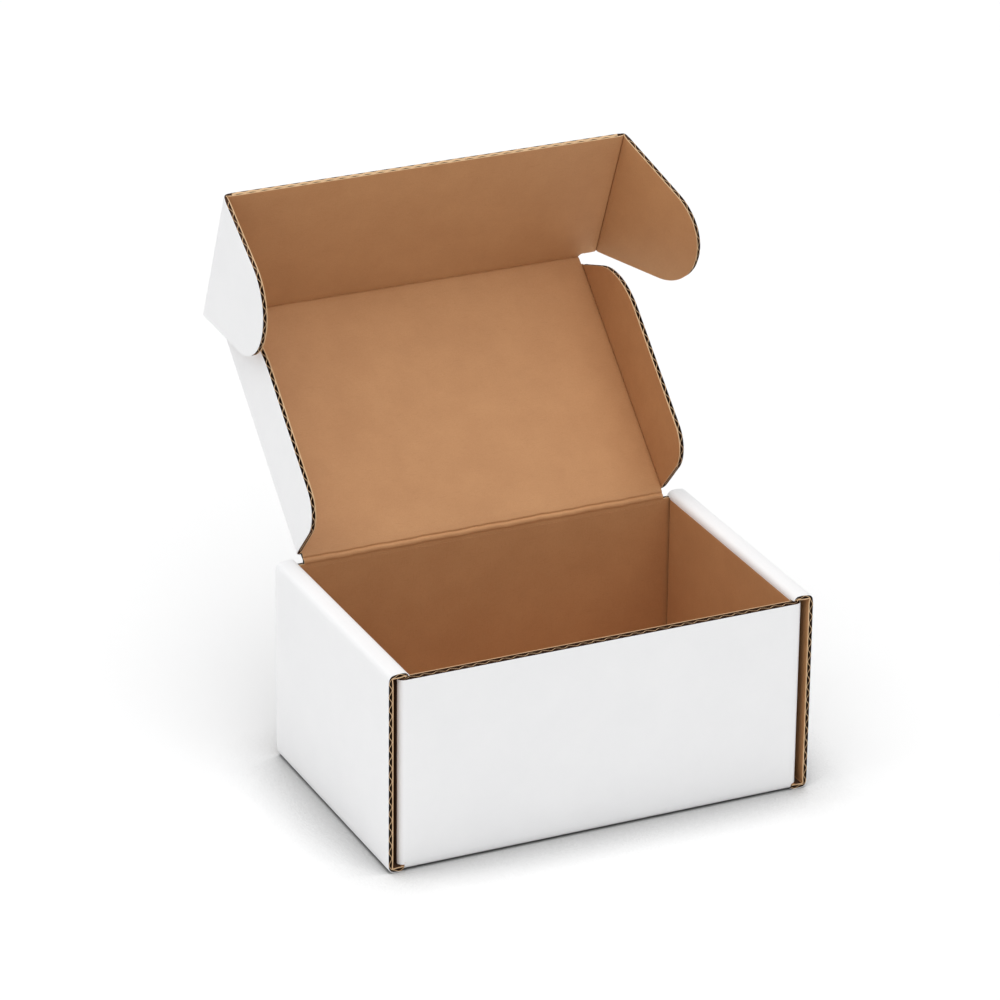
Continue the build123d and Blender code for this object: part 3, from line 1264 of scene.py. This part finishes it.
FINISHES = {
    Finish.PRINT: PaperFinish(
        name="white_print",
        colour=(0.88, 0.88, 0.885),
        shade=(0.85, 0.852, 0.86),
        fibre_colour=(0.82, 0.82, 0.82),
        roughness=(0.5, 0.6),
        fibre=0.1,
        cloud=0.6,
        grain_height=6e-6,
        flute_height=1.2e-5,
    ),
    Finish.KRAFT: PaperFinish(
        name="kraft_liner",
        colour=(0.525, 0.267, 0.114),
        shade=(0.465, 0.227, 0.093),
        fibre_colour=(0.345, 0.15, 0.057),
        roughness=(0.6, 0.72),
        fibre=0.22,
        cloud=0.75,
        specular=0.5,
        grain_height=1.2e-5,
        flute_height=1.6e-5,
    ),
    Finish.CUT: PaperFinish(
        name="cut_paper",
        colour=(0.72, 0.50, 0.30),
        shade=(0.62, 0.40, 0.22),
        fibre_colour=(0.48, 0.28, 0.14),
        roughness=(0.8, 0.9),
        fibre=0.4,
    ),
    # Painted shade: the medium's brown darkened nearly to black, standing for the shade in flute cells and
    # corner slots
    Finish.FLUTE: PaperFinish(
        name="fluted_medium",
        colour=(0.07, 0.03, 0.013),
        shade=(0.05, 0.021, 0.009),
        fibre_colour=(0.12, 0.055, 0.025),
        roughness=(0.85, 0.95),
        fibre=0.3,
    ),
}


@dataclass(frozen=True)
class Sun:
    """A soft sun: where it comes from, its share of the light and its spread in degrees."""

    name: str
    source: tuple[float, float, float]
    light: float
    spread: float

    def build(self) -> None:
        """Adds the lamp, at a strength at which white paper square to it shows its share of light."""
        data = bpy.data.lights.new(self.name, "SUN")
        data.energy = self.light * math.pi
        data.angle = math.radians(self.spread)
        lamp = new_object(self.name, data)
        lamp.rotation_euler = Vector(self.source).to_track_quat("Z", "Y").to_euler()


@dataclass(frozen=True)
class Studio:
    """Floor, light and camera, in metres and degrees, with the sensor in millimetres."""

    azimuth: float = -25.1
    elevation: float = 24.23
    roll: float = 0.6
    distance: float = 2.4
    focal_share: float = 5.314
    sensor: float = 36.0
    aside: float = -45.57 * MM
    above: float = 148.89 * MM
    nearest: float = 0.05
    farthest: float = 50.0
    floor_size: float = 8.0
    floor_drop: float = 0.2 * MM
    floor_white: float = 0.95
    floor_roughness: float = 0.85
    floor_specular: float = 0.1
    # Painted shadow on the floor: ambient occlusion within this reach darkens the floor's colour near the
    # box
    contact_reach: float = 65.0 * MM
    contact_range: tuple[float, float] = (0.40, 0.76)
    contact_dark: float = 0.2
    contact_samples: int = 4
    sky_light: float = 0.25
    suns: tuple[Sun, ...] = (
        Sun("key", source=(-0.08, -0.14, 0.987), light=0.78, spread=90.0),
        Sun("front", source=(0.0, -0.97, 0.24), light=0.11, spread=40.0),
        Sun("fill", source=(-0.95, 0.08, 0.3), light=0.15, spread=40.0),
    )

    def camera(self, front: float) -> None:
        """Places the camera at the photograph's angle.

        The camera looks along one direction, and is offset sideways and up from the foot of the front wall.

        Args:
            front: The y of the front wall's face.
        """
        turn, rise, roll = (math.radians(angle) for angle in (self.azimuth, self.elevation, self.roll))
        back = Vector((math.sin(turn) * math.cos(rise), -math.cos(turn) * math.cos(rise), math.sin(rise)))
        right = Vector((math.cos(turn), math.sin(turn), 0.0))
        up = back.cross(right)
        rolled_right = right * math.cos(roll) + up * math.sin(roll)
        rolled_up = up * math.cos(roll) - right * math.sin(roll)
        foot = Vector((0, front, 0))
        spot = foot + rolled_right * self.aside + rolled_up * self.above + back * self.distance
        data = bpy.data.cameras.new("camera")
        data.sensor_width = self.sensor
        data.lens = self.focal_share * self.sensor
        data.clip_start = self.nearest
        data.clip_end = self.farthest
        camera = new_object("camera", data)
        basis = Matrix((rolled_right, rolled_up, back)).transposed().to_4x4()
        camera.matrix_world = Matrix.Translation(spot) @ basis
        bpy.context.scene.camera = camera

    def floor(self) -> None:
        """Lays a white floor that keeps the box's cast shadow, with painted shadow around the box: ambient
        occlusion darkens its colour, darkest where the box stands on it.
        """
        half = self.floor_size / 2
        corners = [(-half, -half), (half, -half), (half, half), (-half, half)]
        mesh = bpy.data.meshes.new("floor")
        mesh.from_pydata([(x, y, -self.floor_drop) for x, y in corners], [], [(0, 1, 2, 3)])
        material = bpy.data.materials.new("studio_floor")
        material.use_nodes = True
        nodes = Nodes(material.node_tree)
        # Painted shadow: the floor's colour is darkened by ambient occlusion near the box
        settings = {"samples": self.contact_samples}
        contact = nodes.add("ShaderNodeAmbientOcclusion", settings, Distance=self.contact_reach)
        share = nodes.ranged(contact.outputs["AO"], *self.contact_range, self.contact_dark, 1.0)
        white = (self.floor_white,) * 3
        colour = nodes.mixed(share, (0.0, 0.0, 0.0), white)
        inputs = {"Roughness": self.floor_roughness, "Specular_IOR_Level": self.floor_specular}
        shader = nodes.add("ShaderNodeBsdfPrincipled", Base_Color=colour, **inputs)
        nodes.finish(shader)
        mesh.materials.append(material)
        floor = new_object("floor", mesh)

    def world(self) -> None:
        """Lights everything evenly, with a white background for the camera and reflections."""
        world = bpy.data.worlds.new("studio")
        bpy.context.scene.world = world
        world.use_nodes = True
        nodes = Nodes(world.node_tree)
        rays = nodes.add("ShaderNodeLightPath").outputs
        seen = nodes.math("MAXIMUM", rays["Is Camera Ray"], rays["Is Glossy Ray"])
        seen = nodes.math("MAXIMUM", seen, rays["Is Transmission Ray"])
        strength = nodes.ranged(seen, 0.0, 1.0, self.sky_light, 1.0)
        backdrop = nodes.add("ShaderNodeBackground", Color=(1.0, 1.0, 1.0, 1.0), Strength=strength)
        nodes.add("ShaderNodeOutputWorld", Surface=backdrop.outputs[0])

    def build(self, front: float) -> None:
        """Sets up camera, floor, sky and lamps.

        Args:
            front: The y of the front wall's face.
        """
        bpy.context.scene.view_settings.view_transform = "Standard"
        self.camera(front)
        self.floor()
        self.world()
        for sun in self.suns:
            sun.build()


def main() -> None:
    """Builds the box piece by piece, then the studio."""
    logging.basicConfig(level=logging.INFO)
    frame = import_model()
    place = Layout(Stock(), frame)
    look = PaperLook()
    paper, flutes = look.paper_group(), look.flute_group()
    finishes = [FINISHES[finish].build(paper, flutes) for finish in Finish]
    for assembly in (Tray(place), Lid(place), *FlapShapes().flaps(place)):
        for piece in assembly.build():
            piece.dress(finishes)
    Studio().build(float(place.low[1]))


if __name__ == "__main__":
    main()
